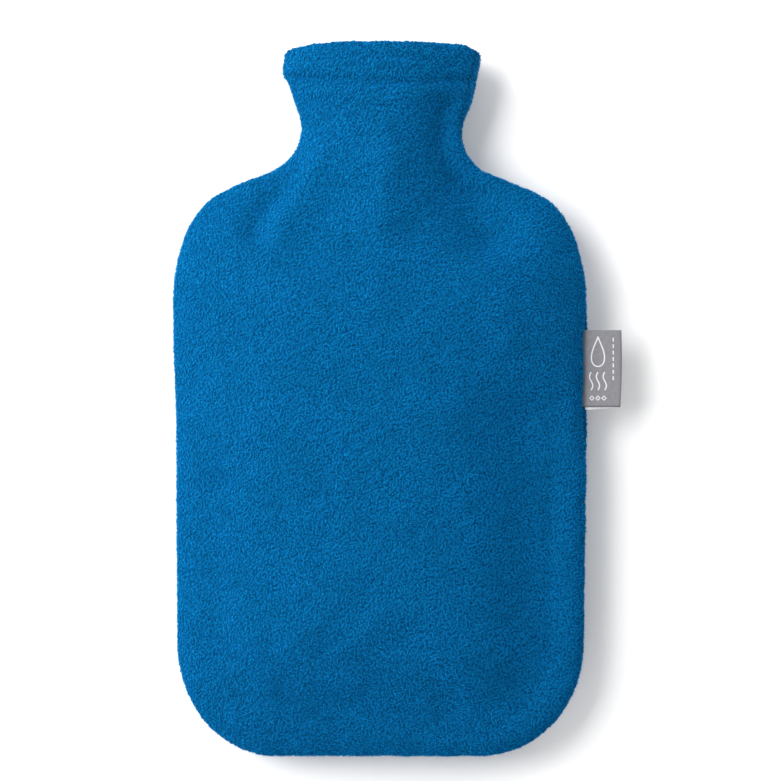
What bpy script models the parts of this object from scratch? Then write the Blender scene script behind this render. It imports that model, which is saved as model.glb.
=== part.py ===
"""Fleece cover for a two-litre hot water bottle, lying on its back.

X runs across the cover, Y up towards its neck, and Z away from the surface it lies on. The origin
is on the flat underside, half way up the cover and midway between its sides. The cover is hollow
and keeps the shape that a bottle gives it. A front and a back panel meet in a seam that runs down
one side, along the bottom and up the other side, and a folded ribbon is caught in that seam.

Lengths in this file are in millimetres, and MM turns them into metres.
"""

from collections import namedtuple

import bmesh
import bpy
import numpy as np

MM = 0.001

# The cover in cross-section, from the mouth down to where the bottom corners start. up is the height
# on the cover. left and right are how far out its sides lie. seam is the height of the side seam over
# the surface. front and back are how far the panels rise and drop from the seam, and their reach is
# the distance in from the side at which they have done so. roll is the angle by which the right seam
# is turned towards the front. cloth is the thickness: it is double where the hem is turned in. steps
# is the number of grid rows down to the next section.
Section = namedtuple(
    "Section",
    "name up left right seam front front_reach back back_reach roll cloth steps",
)
SECTIONS = (
    Section("mouth edge", 172.0, 48.3, 49.8, 20.5, 16.5, 46, 16.0, 46, 21, 4, 2),
    Section("hem stitching", 160.0, 48.7, 48.0, 20.5, 16.3, 45, 15.8, 45, 21, 4, 1),
    Section("under the hem", 157.5, 47.1, 47.5, 20.4, 16.0, 44, 15.6, 44, 21, 2, 2),
    Section("flare", 147.0, 42.9, 44.6, 20.2, 15.6, 41, 15.2, 41, 19, 2, 2),
    Section("throat", 135.5, 39.7, 40.3, 20.0, 15.4, 38, 15.2, 38, 10, 2, 2),
    Section("neck root", 122.5, 43.5, 43.2, 19.6, 16.4, 40, 15.8, 40, 3, 2, 2),
    Section("shoulder start", 115.6, 51.7, 48.8, 19.2, 17.4, 44, 16.4, 40, 0, 2, 2),
    Section("shoulder slope", 108.2, 69.5, 66.0, 18.8, 18.8, 56, 17.2, 39, 0, 2, 2),
    Section("shoulder turn", 99.0, 85.8, 83.7, 18.3, 20.2, 72, 17.9, 38, 0, 2, 2),
    Section("shoulder side", 84.0, 96.8, 94.9, 18.0, 21.6, 88, 18.0, 38, 0, 2, 2),
    Section("shoulder end", 62.0, 103.0, 101.1, 18.0, 22.6, 96, 18.0, 38, 0, 2, 3),
    Section("label top", 35.2, 103.8, 103.1, 18.0, 23.0, 98, 18.0, 38, 0, 2, 4),
    Section("label bottom", -5.2, 102.5, 103.3, 18.0, 23.0, 98, 18.0, 38, 0, 2, 5),
    Section("flank", -62.0, 102.2, 102.7, 18.0, 22.6, 98, 18.0, 38, 0, 2, 5),
    Section("corner start", -122.0, 101.8, 101.9, 18.0, 22.0, 96, 18.0, 38, 0, 2, 0),
)

# The bottom corners are quarter ellipses. The side rows go round the first half of each, and the
# bottom row takes the second halves and the straight edge between them.
BOTTOM = -179.0
LEFT_CORNER_WIDTH = 50.0
RIGHT_CORNER_WIDTH = 55.0
CORNER_HEIGHT = SECTIONS[-1].up - BOTTOM
HALF_CORNER = np.radians(45)
CORNER_ROWS = 8
PANEL_COLUMNS = 22

# The bottom row's bow and the mouth's arch die out over these heights.
BOW_END = -50.0
ARCH_START = 118.0
ARCH_FULL = 160.0
MOUTH_ARCH = 4.6
ARCH_SQUARENESS = 2.5

FRONT_SQUARENESS = 1.95
BACK_SQUARENESS = 2.5
SEAM_GAP = 0.34  # between the two panels' edges
MOUTH_RUN_ON = 12.0  # the outline goes on past the mouth, for distances measured near it
OUTLINE_STEPS = 8  # outline points for each grid row

# Soft troughs (depth below 0) and swells (above 0) on the front, each along a line of joined points.
# Each dies out over its fade, a distance in from the seam.
Fold = namedtuple("Fold", "name line width depth fade")
FOLDS = (
    Fold("left neck crease", ((-44, 121), (-50, 104), (-62, 84)), 9, -3.0, 18),
    Fold("left neck ridge", ((-31, 124), (-38, 104), (-50, 84)), 10, 1.8, 16),
    Fold("right neck fall", ((44, 146), (39, 128), (45, 106), (54, 84)), 17, -5.0, 12),
    Fold("throat swell", ((0, 118), (0, 104), (-6, 90)), 11, 1.7, 22),
    Fold("belly swell", ((-50, 40), (-60, -50)), 26, 1.6, 22),
    Fold("left hollow", ((-82, -46), (-80, -126)), 11, -2.0, 12),
    Fold("right hollow", ((72, -14), (79, -60), (79, -134)), 23, -5.2, 18),
    Fold("lower hollow", ((-66, -142), (-36, -154), (20, -158), (60, -152)), 16, -2.4, 14),
    Fold("lower swell", ((-16, -124), (0, -109), (8, -105)), 9, 1.0, 22),
    Fold("upper right swell", ((60, 44), (74, 6)), 16, 0.9, 22),
)

# The ribbon label: it leaves the right seam, lies level and folds back on itself at its outer edge.
LABEL_TOP = 34.2
LABEL_BOTTOM = -4.2
LABEL_ROOT = 97.6  # where its two ends stop, inside the seam
LABEL_TIP = 120.7
LABEL_TIP_BOW = 0.5  # how far the fold's ends fall back from its middle
LABEL_TIP_SKEW = 0.5  # how much further the lower end falls back than the upper
LABEL_CLOTH = 1.0
LABEL_ROOT_HALF = 0.65  # from the label's middle plane to the middle of each layer, at the seam
LABEL_FOLD_RADIUS = 1.15
LABEL_LENGTHWAYS = 6
LABEL_FOLD_POINTS = 7
LABEL_ROWS = 6
LABEL_CLEARANCE = 0.35  # between the label and the seam edges that part for it
LABEL_ROOM = 1.2  # how far past the label's ends the seam stays parted

SHARP_ANGLE = np.radians(50)

FLEECE_BLUE = (0.0033, 0.1170, 0.3095)
RIBBON_GREY = (0.1950, 0.1950, 0.2160)


def clear_scene():
    for obj in list(bpy.data.objects):
        bpy.data.objects.remove(obj, do_unlink=True)


def material(name, colour, roughness):
    made = bpy.data.materials.new(name)
    made.use_nodes = True
    shader = made.node_tree.nodes["Principled BSDF"]
    shader.inputs["Base Color"].default_value = (*colour, 1)
    shader.inputs["Roughness"].default_value = roughness
    shader.inputs["Metallic"].default_value = 0
    made.diffuse_color = (*colour, 1)
    return made


def spline(values, knots, at):
    """A cubic curve through values at knots. Each slope comes from the two neighbours."""
    gaps = np.diff(knots)
    rises = np.diff(values) / gaps
    inner = (rises[:-1] * gaps[1:] + rises[1:] * gaps[:-1]) / (gaps[:-1] + gaps[1:])
    slopes = np.concatenate((rises[:1], inner, rises[-1:]))
    i = np.clip(np.searchsorted(knots, at, side="right") - 1, 0, len(gaps) - 1)
    f = (at - knots[i]) / gaps[i]
    g = 1 - f
    ends = (1 + 2 * f) * g * g * values[i] + (1 + 2 * g) * f * f * values[i + 1]
    return ends + gaps[i] * f * g * (g * slopes[i] - f * slopes[i + 1])


def side_rows(finer=1):
    """Every column of SECTIONS at each grid row, from the mouth to half way round the corners."""
    table = {
        name: np.array([getattr(section, name) for section in SECTIONS], float)
        for name in Section._fields[1:]
    }
    runs = np.hypot(np.diff(table["up"]), np.diff(table["left"]))
    knots = np.concatenate(([0], np.cumsum(runs)))
    places = [
        np.linspace(knots[i], knots[i + 1], finer * section.steps, endpoint=False)
        for i, section in enumerate(SECTIONS[:-1])
    ]
    places = np.concatenate(places)
    rows = {name: spline(values, knots, places) for name, values in table.items()}
    rows["cloth"] = np.interp(places, knots, table["cloth"])
    count = finer * CORNER_ROWS
    turn = HALF_CORNER * (1 - (1 - np.arange(count + 1) / count) ** 2)
    last = SECTIONS[-1]
    for name in rows:
        rows[name] = np.concatenate((rows[name], np.full(len(turn), getattr(last, name))))
    start = len(places)
    rows["turn"] = np.concatenate((np.zeros(start), turn))
    rows["left"][start:] -= LEFT_CORNER_WIDTH * (1 - np.cos(turn))
    rows["right"][start:] -= RIGHT_CORNER_WIDTH * (1 - np.cos(turn))
    rows["up"][start:] -= CORNER_HEIGHT * np.sin(turn)
    return rows


def side_points(rows, side, inset):
    """The left or right side seen from above, inset into the cover."""
    out = -1 if side == "left" else 1
    points = np.stack((out * rows[side], rows["up"]), axis=1)
    along = np.gradient(points, axis=0)
    straight = rows["turn"] == 0
    inwards = out * np.stack((along[:, 1], -along[:, 0]), axis=1)
    inwards /= np.linalg.norm(inwards, axis=1, keepdims=True)
    round_corner = np.stack((-out * np.cos(rows["turn"]), np.sin(rows["turn"])), axis=1)
    direction = np.where(straight[:, None], inwards, round_corner)
    direction[0] = (-out, 0)  # the mouth's own edge is cut straight across
    return points + inset[:, None] * direction


def bottom_points(share, inset):
    """The bottom edge from corner to corner: share is 0 at its left end and 1 at its right end."""
    last = SECTIONS[-1]
    turn = np.linspace(HALF_CORNER, np.radians(90), 24)
    down = -(CORNER_HEIGHT - inset) * np.sin(turn)
    left = LEFT_CORNER_WIDTH - last.left - (LEFT_CORNER_WIDTH - inset) * np.cos(turn)
    right = last.right - RIGHT_CORNER_WIDTH + (RIGHT_CORNER_WIDTH - inset) * np.cos(turn)
    across = np.concatenate((left, right[::-1]))
    up = last.up + np.concatenate((down, down[::-1]))
    length = np.concatenate(([0], np.cumsum(np.hypot(np.diff(across), np.diff(up)))))
    at = share * length[-1]
    return np.stack((np.interp(at, length, across), np.interp(at, length, up)), axis=-1)


def smooth_step(value, low, high):
    share = np.clip((value - low) / (high - low), 0, 1)
    return share * share * (3 - 2 * share)


def plan(rows, across, inset):
    """Each grid point seen from above. across runs from -1 at the left side to 1 at the right."""
    left = side_points(rows, "left", inset)[:, None]
    right = side_points(rows, "right", inset)[:, None]
    share = ((1 + across) / 2)[..., None]
    points = (1 - share) * left + share * right
    bottom = bottom_points(share[-1, :, 0], inset[-1])
    bow = bottom - points[-1]
    up = rows["up"][:, None, None]
    fade = np.clip((BOW_END - up) / (BOW_END - rows["up"][-1]), 0, 1) ** 2
    points = points + fade * bow
    arch = (1 - np.abs(across) ** ARCH_SQUARENESS) ** (1 / ARCH_SQUARENESS)
    points[..., 1] += MOUTH_ARCH * arch * smooth_step(up[..., 0], ARCH_START, ARCH_FULL)
    return points


def outline():
    """The whole side and bottom edge seen from above, as closely spaced points."""
    rows = side_rows(OUTLINE_STEPS)
    flat = np.zeros(len(rows["up"]))
    left = side_points(rows, "left", flat)
    right = side_points(rows, "right", flat)
    bottom = bottom_points(np.linspace(0, 1, 40 * OUTLINE_STEPS)[1:-1], 0.0)
    run_on = np.array((0, MOUTH_RUN_ON))
    return np.concatenate((left[:1] + run_on, left, bottom, right[::-1], right[:1] + run_on))


def distance_to(line, points):
    """The distance of each point to a line of joined points."""
    start = line[:-1]
    run = line[1:] - start
    length = (run**2).sum(axis=1)
    found = []
    for row in points:
        offset = row[:, None] - start
        share = np.clip((offset * run).sum(axis=2) / length, 0, 1)
        found.append(np.linalg.norm(offset - share[..., None] * run, axis=2).min(axis=1))
    return np.array(found)


def swell(distance, reach, squareness):
    """Rises from 0 at the seam to 1 at the reach, like a quarter of a rounded square."""
    short = 1 - np.clip(distance / reach, 0, 1)
    return (1 - short**squareness) ** (1 / squareness)


def fold_height(points, distance):
    """How far the folds lift the front panel at each point."""
    height = np.zeros(points.shape[:-1])
    for fold in FOLDS:
        away = distance_to(np.array(fold.line, float), points)
        height += fold.depth * np.exp(-((away / fold.width) ** 2)) * smooth_step(distance, 0, fold.fade)
    return height


def skin(rows, angle, inset):
    """Points on the cover's surface, inset into its cloth. In each row the angle goes round the cover
    from the right side (0) over the front (to 180 degrees) or under the back (to -180 degrees)."""
    across = np.cos(angle)
    points = plan(rows, across, inset)
    distance = np.maximum(distance_to(outline(), points) - inset[:, None], 0)
    edge = np.isclose(np.abs(across), 1)
    edge[-1] = True
    distance[edge] = 0
    sized = {name: values[:, None] for name, values in rows.items()}
    deep = inset[:, None]
    over = swell(distance, sized["front_reach"], FRONT_SQUARENESS) * (sized["front"] - deep)
    over = over + fold_height(points, distance)
    under = swell(distance, sized["back_reach"], BACK_SQUARENESS) * (deep - sized["back"])
    height = sized["seam"] + np.where(angle >= 0, over, under)
    return np.concatenate((points, height[..., None]), axis=2)


def pull_back(grid, gap_at_start, gap_at_end):
    """Draws a panel's seam edges back along its surface, so that the two panels don't touch."""
    moved = grid.copy()
    for edge, inner, gap in (
        (np.s_[:, 0], grid[:, 1] - grid[:, 0], gap_at_start),
        (np.s_[:, -1], grid[:, -2] - grid[:, -1], gap_at_end),
        (np.s_[-1], grid[-2] - grid[-1], SEAM_GAP / 2),
    ):
        moved[edge] += gap * inner / np.linalg.norm(inner, axis=1, keepdims=True)
    return moved


def shell(name, outer, inner, finish):
    """A sheet of cloth between two grids of points, closed along its four edges."""
    built = bmesh.new()
    outer_points, inner_points = (
        [[built.verts.new(point * MM) for point in row] for row in grid] for grid in (outer, inner)
    )
    rows, columns = outer.shape[:2]
    for points in (outer_points, inner_points):
        for r in range(rows - 1):
            for c in range(columns - 1):
                corners = (points[r][c], points[r][c + 1], points[r + 1][c + 1], points[r + 1][c])
                built.faces.new(corners)
    border = [(0, c) for c in range(columns - 1)]
    border += [(r, columns - 1) for r in range(rows - 1)]
    border += [(rows - 1, c) for c in range(columns - 1, 0, -1)]
    border += [(r, 0) for r in range(rows - 1, 0, -1)]
    for (r, c), (next_r, next_c) in zip(border, border[1:] + border[:1]):
        here, beyond = outer_points[r][c], outer_points[next_r][next_c]
        built.faces.new((here, beyond, inner_points[next_r][next_c], inner_points[r][c]))
    bmesh.ops.recalc_face_normals(built, faces=built.faces)
    mesh = bpy.data.meshes.new(name)
    built.to_mesh(mesh)
    built.free()
    mesh.shade_smooth()
    mesh.set_sharp_from_angle(angle=SHARP_ANGLE)
    mesh.materials.append(finish)
    obj = bpy.data.objects.new(name, mesh)
    bpy.context.scene.collection.objects.link(obj)
    return obj


def panel(name, finish):
    """The front or the back panel, from the right seam to the left one."""
    rows = side_rows()
    roll = np.radians(rows["roll"])
    far_side = np.radians(180) if name == "front_panel" else np.radians(-180)
    share = np.linspace(0, 1, PANEL_COLUMNS + 1)
    angle = roll[:, None] + share * (far_side - roll)[:, None]
    beside_label = (rows["up"] < LABEL_TOP + LABEL_ROOM) & (rows["up"] > LABEL_BOTTOM - LABEL_ROOM)
    parted = LABEL_ROOT_HALF + LABEL_CLOTH / 2 + LABEL_CLEARANCE
    right_gap = np.where(beside_label, parted, SEAM_GAP / 2)[:, None]
    nothing = np.zeros(len(roll))
    outer, inner = (
        pull_back(skin(rows, angle, inset), right_gap, SEAM_GAP / 2)
        for inset in (nothing, rows["cloth"])
    )
    return shell(name, outer, inner, finish)


def ribbon_layers(tip):
    """The middle of the folded ribbon, seen from its end: out along its upper layer, round the fold
    and back along its lower one. The first value is across the cover, the second above the seam."""
    fold_centre = tip - LABEL_FOLD_RADIUS
    across = np.linspace(LABEL_ROOT, fold_centre, LABEL_LENGTHWAYS, endpoint=False)
    spread = smooth_step(across, SECTIONS[-1].right, fold_centre)
    apart = LABEL_ROOT_HALF + (LABEL_FOLD_RADIUS - LABEL_ROOT_HALF) * spread
    turn = np.radians(np.linspace(90, -90, LABEL_FOLD_POINTS))
    fold = np.stack((np.cos(turn), np.sin(turn)), axis=1) * LABEL_FOLD_RADIUS + (fold_centre, 0)
    upper = np.stack((across, apart), axis=1)
    lower = upper[::-1] * (1, -1)
    return np.concatenate((upper, fold, lower))


def side_label(finish):
    """The folded ribbon, with both ends inside the right side seam."""
    grids = ([], [])
    for place in np.linspace(1, -1, LABEL_ROWS + 1):
        up = LABEL_BOTTOM + (LABEL_TOP - LABEL_BOTTOM) * (1 + place) / 2
        tip = LABEL_TIP - LABEL_TIP_BOW * place**2 - LABEL_TIP_SKEW * (1 - place) / 2
        middle = ribbon_layers(tip)
        along = np.gradient(middle, axis=0)
        outwards = np.stack((-along[:, 1], along[:, 0]), axis=1)
        outwards *= LABEL_CLOTH / 2 / np.linalg.norm(outwards, axis=1, keepdims=True)
        for grid, layer in zip(grids, (middle + outwards, middle - outwards)):
            height = layer[:, 1] + SECTIONS[-1].seam
            grid.append(np.stack((layer[:, 0], np.full(len(layer), up), height), axis=1))
    return shell("side_label", np.array(grids[0]), np.array(grids[1]), finish)


def main():
    clear_scene()
    fleece = material("fleece", FLEECE_BLUE, roughness=0.95)
    ribbon = material("ribbon", RIBBON_GREY, roughness=0.6)
    panel("front_panel", fleece)
    panel("back_panel", fleece)
    side_label(ribbon)


main()
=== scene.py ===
"""The looks of a fleece hot water bottle cover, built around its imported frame.

X runs across the cover towards its label, Y up towards its mouth and Z away from the surface it lies
on. The cover's sections are written in millimetres and fitted to the panels' boxes in the frame. The
label takes its width and its place on the seam from its own box.
"""

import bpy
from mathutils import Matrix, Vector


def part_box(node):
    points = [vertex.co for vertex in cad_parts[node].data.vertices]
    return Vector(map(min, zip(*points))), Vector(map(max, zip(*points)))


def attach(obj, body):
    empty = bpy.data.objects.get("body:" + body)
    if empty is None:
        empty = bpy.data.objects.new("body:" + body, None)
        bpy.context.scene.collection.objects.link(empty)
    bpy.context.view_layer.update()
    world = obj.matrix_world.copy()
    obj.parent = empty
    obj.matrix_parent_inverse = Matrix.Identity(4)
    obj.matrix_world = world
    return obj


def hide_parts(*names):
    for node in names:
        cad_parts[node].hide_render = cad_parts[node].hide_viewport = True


bl_info = {
    "name": "Fleece bottle cover",
    "version": (1, 0, 0),
    "blender": (4, 5, 0),
    "location": "3D View > Sidebar > Bottle cover",
    "description": "Builds a fleece cover for a hot water bottle, with its pile and its ribbon label",
    "category": "Object",
}

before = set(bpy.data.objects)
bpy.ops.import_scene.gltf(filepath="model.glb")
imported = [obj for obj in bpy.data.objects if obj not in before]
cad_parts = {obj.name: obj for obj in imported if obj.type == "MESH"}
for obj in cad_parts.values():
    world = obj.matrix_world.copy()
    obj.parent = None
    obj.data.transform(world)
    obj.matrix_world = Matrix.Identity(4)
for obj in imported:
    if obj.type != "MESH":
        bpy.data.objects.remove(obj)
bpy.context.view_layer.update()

from collections import namedtuple
from functools import lru_cache
from math import pi, radians

import bpy
import numpy as np
from bpy.props import FloatProperty, FloatVectorProperty, IntProperty, PointerProperty
from bpy.types import Operator, Panel, PropertyGroup
from mathutils import Vector

FRONT_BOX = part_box("front_panel")
BACK_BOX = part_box("back_panel")
LABEL_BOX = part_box("side_label")
MM = 0.001

# ---------------------------------------------------------------- the cover's pattern, in millimetres

# The cover in cross-section, from the mouth down to where the bottom corners start. up is the height
# on the cover. left and right are how far out its sides lie. seam is the height of the side seam over
# the surface. front and back are how far the panels rise and drop from the seam, and their reach is
# the distance in from the side at which they have done so. roll is the angle by which the right seam
# is turned towards the front. cloth is the thickness: it is double where the hem is turned in.
Section = namedtuple(
    "Section",
    "name up left right seam front front_reach back back_reach roll cloth",
)
SECTIONS = (
    Section("mouth edge", 172.0, 48.1, 49.8, 20.5, 16.5, 46, 16.0, 46, 21, 4),
    Section("hem stitching", 160.0, 48.2, 48.3, 20.5, 16.3, 45, 15.8, 45, 21, 4),
    Section("under the hem", 157.5, 46.7, 47.8, 20.4, 16.0, 44, 15.6, 44, 21, 2),
    Section("flare", 147.0, 42.9, 45.3, 20.2, 15.6, 41, 15.2, 41, 19, 2),
    Section("throat", 135.5, 39.7, 41.0, 20.0, 15.4, 38, 15.2, 38, 10, 2),
    Section("neck root", 122.5, 43.5, 43.2, 19.6, 16.4, 40, 15.8, 40, 3, 2),
    Section("shoulder start", 115.6, 50.6, 48.8, 19.2, 17.4, 44, 16.4, 40, 0, 2),
    Section("shoulder slope", 108.2, 69.0, 64.9, 18.8, 18.8, 56, 17.2, 39, 0, 2),
    Section("shoulder turn", 99.0, 85.8, 84.4, 18.3, 20.2, 72, 17.9, 38, 0, 2),
    Section("shoulder side", 84.0, 96.8, 95.6, 18.0, 21.6, 88, 18.0, 38, 0, 2),
    Section("shoulder end", 62.0, 103.0, 102.1, 18.0, 22.6, 96, 18.0, 38, 0, 2),
    Section("label top", 35.2, 103.8, 103.6, 18.0, 23.0, 98, 18.0, 38, 0, 2),
    Section("label bottom", -5.2, 102.5, 103.3, 18.0, 23.0, 98, 18.0, 38, 0, 2),
    Section("flank", -62.0, 102.2, 102.7, 18.0, 22.6, 98, 18.0, 38, 0, 2),
    Section("corner start", -122.0, 101.8, 101.9, 18.0, 22.0, 96, 18.0, 38, 0, 2),
)
PATTERN_WIDTH = 206.9
PATTERN_TOP = 176.6
BOTTOM = -179.0
PATTERN_DEPTH = 41.1
LEFT_CORNER_WIDTH = 50.0
RIGHT_CORNER_WIDTH = 52.5
CORNER_HEIGHT = SECTIONS[-1].up - BOTTOM
HALF_CORNER = radians(45)

# The bottom row's bow and the mouth's arch die out over these heights.
BOW_END = -50.0
ARCH_START = 118.0
ARCH_FULL = 160.0
MOUTH_ARCH = 4.6
ARCH_SQUARENESS = 2.5

FRONT_SQUARENESS = 1.7
BACK_SQUARENESS = 2.5
MOUTH_RUN_ON = 12.0  # the outline goes on past the mouth, for distances measured near it
SQUARE_CUT = 3.0  # this near its top the mouth's sides are cut square to it
RIM_BLEND = 6  # the rows below the fold make room for it, over this many times its radius
CORNER_POINTS = 24
FINE_OUTLINE = (240, 48, 160)  # points down a side, round half a corner and along the bottom
ARC_POINTS = 4001  # for measuring the flank's cross-section
NEARLY_ZERO = 1e-12

# Grid rows and columns of each panel. The rim rows go over the fold at the mouth.
Grid = namedtuple("Grid", "side_rows corner_rows columns rim_rows")
GRIDS = {
    "front_panel": Grid(190, 44, 138, 4),
    "back_panel": Grid(132, 32, 96, 4),
}
RIM_TURN = radians(80)  # how far round the fold each layer goes before they meet

# Soft troughs (depth below 0) and swells (above 0) on a panel, each along a line of points. Each
# dies out over its fade, a distance in from the seam.
Fold = namedtuple("Fold", "name line width depth fade")
FRONT_FOLDS = (
    Fold("left neck crease", ((-44, 121), (-50, 104), (-62, 84)), 7, -3.6, 18),
    Fold("left neck ridge", ((-31, 124), (-38, 104), (-50, 84)), 8, 2.2, 16),
    Fold("right neck fall", ((43, 138), (40, 126), (45, 106), (54, 84)), 17, -6.6, 12),
    Fold("right end of the hem", ((47, 166), (47, 158)), 16, 1.2, 4),
    Fold("throat swell", ((5, 118), (6, 104), (0, 90)), 11, 1.9, 22),
    Fold("belly swell", ((-50, 40), (-60, -50)), 26, 1.6, 22),
    Fold("left hollow", ((-82, -46), (-80, -126)), 10, -2.2, 12),
    Fold("right hollow", ((72, -14), (79, -60), (79, -134)), 25, -6.0, 18),
    Fold("lower hollow", ((-66, -142), (-36, -154), (20, -158), (60, -152)), 16, -2.4, 14),
    Fold("lower swell", ((-16, -124), (0, -109), (8, -105)), 7, 1.2, 22),
    Fold("upper right swell", ((60, 44), (74, 6)), 16, 0.9, 22),
    Fold("hem stitching", ((-47, 159.5), (-20, 157.2), (8, 155.8), (46, 158.2)), 1.9, -1.25, 1),
    Fold("swell under the hem", ((-38, 153.0), (0, 150.2), (36, 152.5)), 4.2, 0.8, 8),
    Fold("line below the fold", ((-30, 168.0), (8, 169.3), (44, 164.5)), 1.6, -0.6, 6),
)
BACK_FOLDS = (
    Fold("hem stitching", ((-46, 159), (0, 157), (47, 159)), 1.5, -0.7, 1),
    Fold("left neck crease", ((-40, 120), (-58, 92)), 8, -1.4, 16),
    Fold("right neck crease", ((40, 122), (60, 90)), 9, -1.6, 16),
)

# Where the seam is drawn in further than elsewhere, down one side of one panel. Each tuck starts and
# ends over its fade.
Tuck = namedtuple("Tuck", "name panel side top bottom fade reach depth")
TUCKS = (
    Tuck("label root", "front_panel", "right", 52, -34, 22, 16.0, 2.5),
    Tuck("right of the neck", "front_panel", "right", 190, 122, 16, 4.5, 0.4),
    Tuck("lower left corner", "front_panel", "left", -122, -162, 14, 3.5, 0.9),
)
SEAM_REACH = 2.2  # the seam's groove rises to the cloth's face over this distance
SEAM_GAP = 0.3  # between the two panels' edges
PILE_ROOM = 0.3  # the cloth lies this far inside the sections, which are those of its pile
FLAT_BACK = 1.5  # nothing lifts the back's cloth where it is lower than this, so it lies flat

# The cloth's soft unevenness: short waves and longer, stronger ones.
Ripple = namedtuple("Ripple", "wavelength seed strength")
RIPPLES = (
    Ripple(7.0, 3, 1.0),
    Ripple(19.0, 4, 1.5),
)
WAVELENGTH_SPREAD = (0.7, 1.4)  # of single waves, as shares of the ripple's wavelength


def spline(values, knots, at):
    """A cubic curve through values at knots. Each slope comes from the two neighbours."""
    gaps = np.diff(knots)
    rises = np.diff(values) / gaps
    inner = (rises[:-1] * gaps[1:] + rises[1:] * gaps[:-1]) / (gaps[:-1] + gaps[1:])
    slopes = np.concatenate((rises[:1], inner, rises[-1:]))
    i = np.clip(np.searchsorted(knots, at, side="right") - 1, 0, len(gaps) - 1)
    f = (at - knots[i]) / gaps[i]
    g = 1 - f
    ends = (1 + 2 * f) * g * g * values[i] + (1 + 2 * g) * f * f * values[i + 1]
    return ends + gaps[i] * f * g * (g * slopes[i] - f * slopes[i + 1])


def smooth_step(value, low, high):
    share = np.clip((value - low) / (high - low), 0, 1)
    return share * share * (3 - 2 * share)


def side_rows(side_count, corner_count):
    """Every column of SECTIONS at each grid row, from the mouth to half way round the corners."""
    table = {
        name: np.array([getattr(section, name) for section in SECTIONS], float)
        for name in Section._fields[1:]
    }
    runs = np.hypot(np.diff(table["up"]), np.diff(table["left"]))
    knots = np.concatenate(([0], np.cumsum(runs)))
    places = np.linspace(0, knots[-1], side_count, endpoint=False)
    rows = {name: spline(values, knots, places) for name, values in table.items()}
    rows["cloth"] = np.interp(places, knots, table["cloth"])
    turn = HALF_CORNER * (1 - (1 - np.arange(corner_count + 1) / corner_count) ** 2)
    last = SECTIONS[-1]
    for name in rows:
        rows[name] = np.concatenate((rows[name], np.full(len(turn), getattr(last, name))))
    rows["turn"] = np.concatenate((np.zeros(side_count), turn))
    rows["left"][side_count:] -= LEFT_CORNER_WIDTH * (1 - np.cos(turn))
    rows["right"][side_count:] -= RIGHT_CORNER_WIDTH * (1 - np.cos(turn))
    rows["up"][side_count:] -= CORNER_HEIGHT * np.sin(turn)
    return rows


def with_rim(rows, rim_count):
    """The same rows with those before them that go over the fold at the mouth. rim says how far in
    from each of the cloth's two faces a row lies, as a share of half its thickness."""
    turn = np.linspace(RIM_TURN, 0, rim_count + 1)[:-1]
    made = {name: np.concatenate((np.full(rim_count, values[0]), values)) for name, values in rows.items()}
    radius = made["cloth"][0] / 2
    below = rows["up"][0] - rows["up"]
    made["up"][rim_count:] -= radius * (1 - smooth_step(below, 0, RIM_BLEND * radius))
    made["up"][:rim_count] = rows["up"][0] - radius * (1 - np.sin(turn))
    made["rim"] = np.zeros(len(made["up"]))
    made["rim"][:rim_count] = 1 - np.cos(turn)
    return made


def side_points(rows, side, inset):
    """The left or right side seen from above, inset into the cover."""
    out = -1 if side == "left" else 1
    points = np.stack((out * rows[side], rows["up"]), axis=1)
    along = np.gradient(points, axis=0)
    straight = rows["turn"] == 0
    inwards = out * np.stack((along[:, 1], -along[:, 0]), axis=1)
    inwards /= np.linalg.norm(inwards, axis=1, keepdims=True)
    round_corner = np.stack((-out * np.cos(rows["turn"]), np.sin(rows["turn"])), axis=1)
    direction = np.where(straight[:, None], inwards, round_corner)
    direction[rows["up"] > SECTIONS[0].up - SQUARE_CUT] = (-out, 0)
    return points + inset[:, None] * direction


def bottom_points(share, inset):
    """The bottom edge from corner to corner: share is 0 at its left end and 1 at its right end."""
    last = SECTIONS[-1]
    turn = np.linspace(HALF_CORNER, pi / 2, CORNER_POINTS)
    down = -(CORNER_HEIGHT - inset) * np.sin(turn)
    left = LEFT_CORNER_WIDTH - last.left - (LEFT_CORNER_WIDTH - inset) * np.cos(turn)
    right = last.right - RIGHT_CORNER_WIDTH + (RIGHT_CORNER_WIDTH - inset) * np.cos(turn)
    across = np.concatenate((left, right[::-1]))
    up = last.up + np.concatenate((down, down[::-1]))
    length = np.concatenate(([0], np.cumsum(np.hypot(np.diff(across), np.diff(up)))))
    at = share * length[-1]
    return np.stack((np.interp(at, length, across), np.interp(at, length, up)), axis=-1)


def plan(rows, across, inset):
    """Each grid point seen from above. across runs from -1 at the left side to 1 at the right."""
    left = side_points(rows, "left", inset)[:, None]
    right = side_points(rows, "right", inset)[:, None]
    share = ((1 + across) / 2)[..., None]
    points = (1 - share) * left + share * right
    bottom = bottom_points(share[-1, :, 0], inset[-1])
    bow = bottom - points[-1]
    up = rows["up"][:, None, None]
    fade = np.clip((BOW_END - up) / (BOW_END - rows["up"][-1]), 0, 1) ** 2
    points = points + fade * bow
    arch = (1 - np.abs(across) ** ARCH_SQUARENESS) ** (1 / ARCH_SQUARENESS)
    points[..., 1] += MOUTH_ARCH * arch * smooth_step(up[..., 0], ARCH_START, ARCH_FULL)
    return points


@lru_cache(maxsize=1)
def outline():
    """The whole side and bottom edge seen from above, as closely spaced points."""
    side_count, corner_count, bottom_count = FINE_OUTLINE
    rows = side_rows(side_count, corner_count)
    flat = np.zeros(len(rows["up"]))
    left = side_points(rows, "left", flat)
    right = side_points(rows, "right", flat)
    bottom = bottom_points(np.linspace(0, 1, bottom_count)[1:-1], 0.0)
    run_on = np.array((0, MOUTH_RUN_ON))
    return np.concatenate((left[:1] + run_on, left, bottom, right[::-1], right[:1] + run_on))


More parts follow.
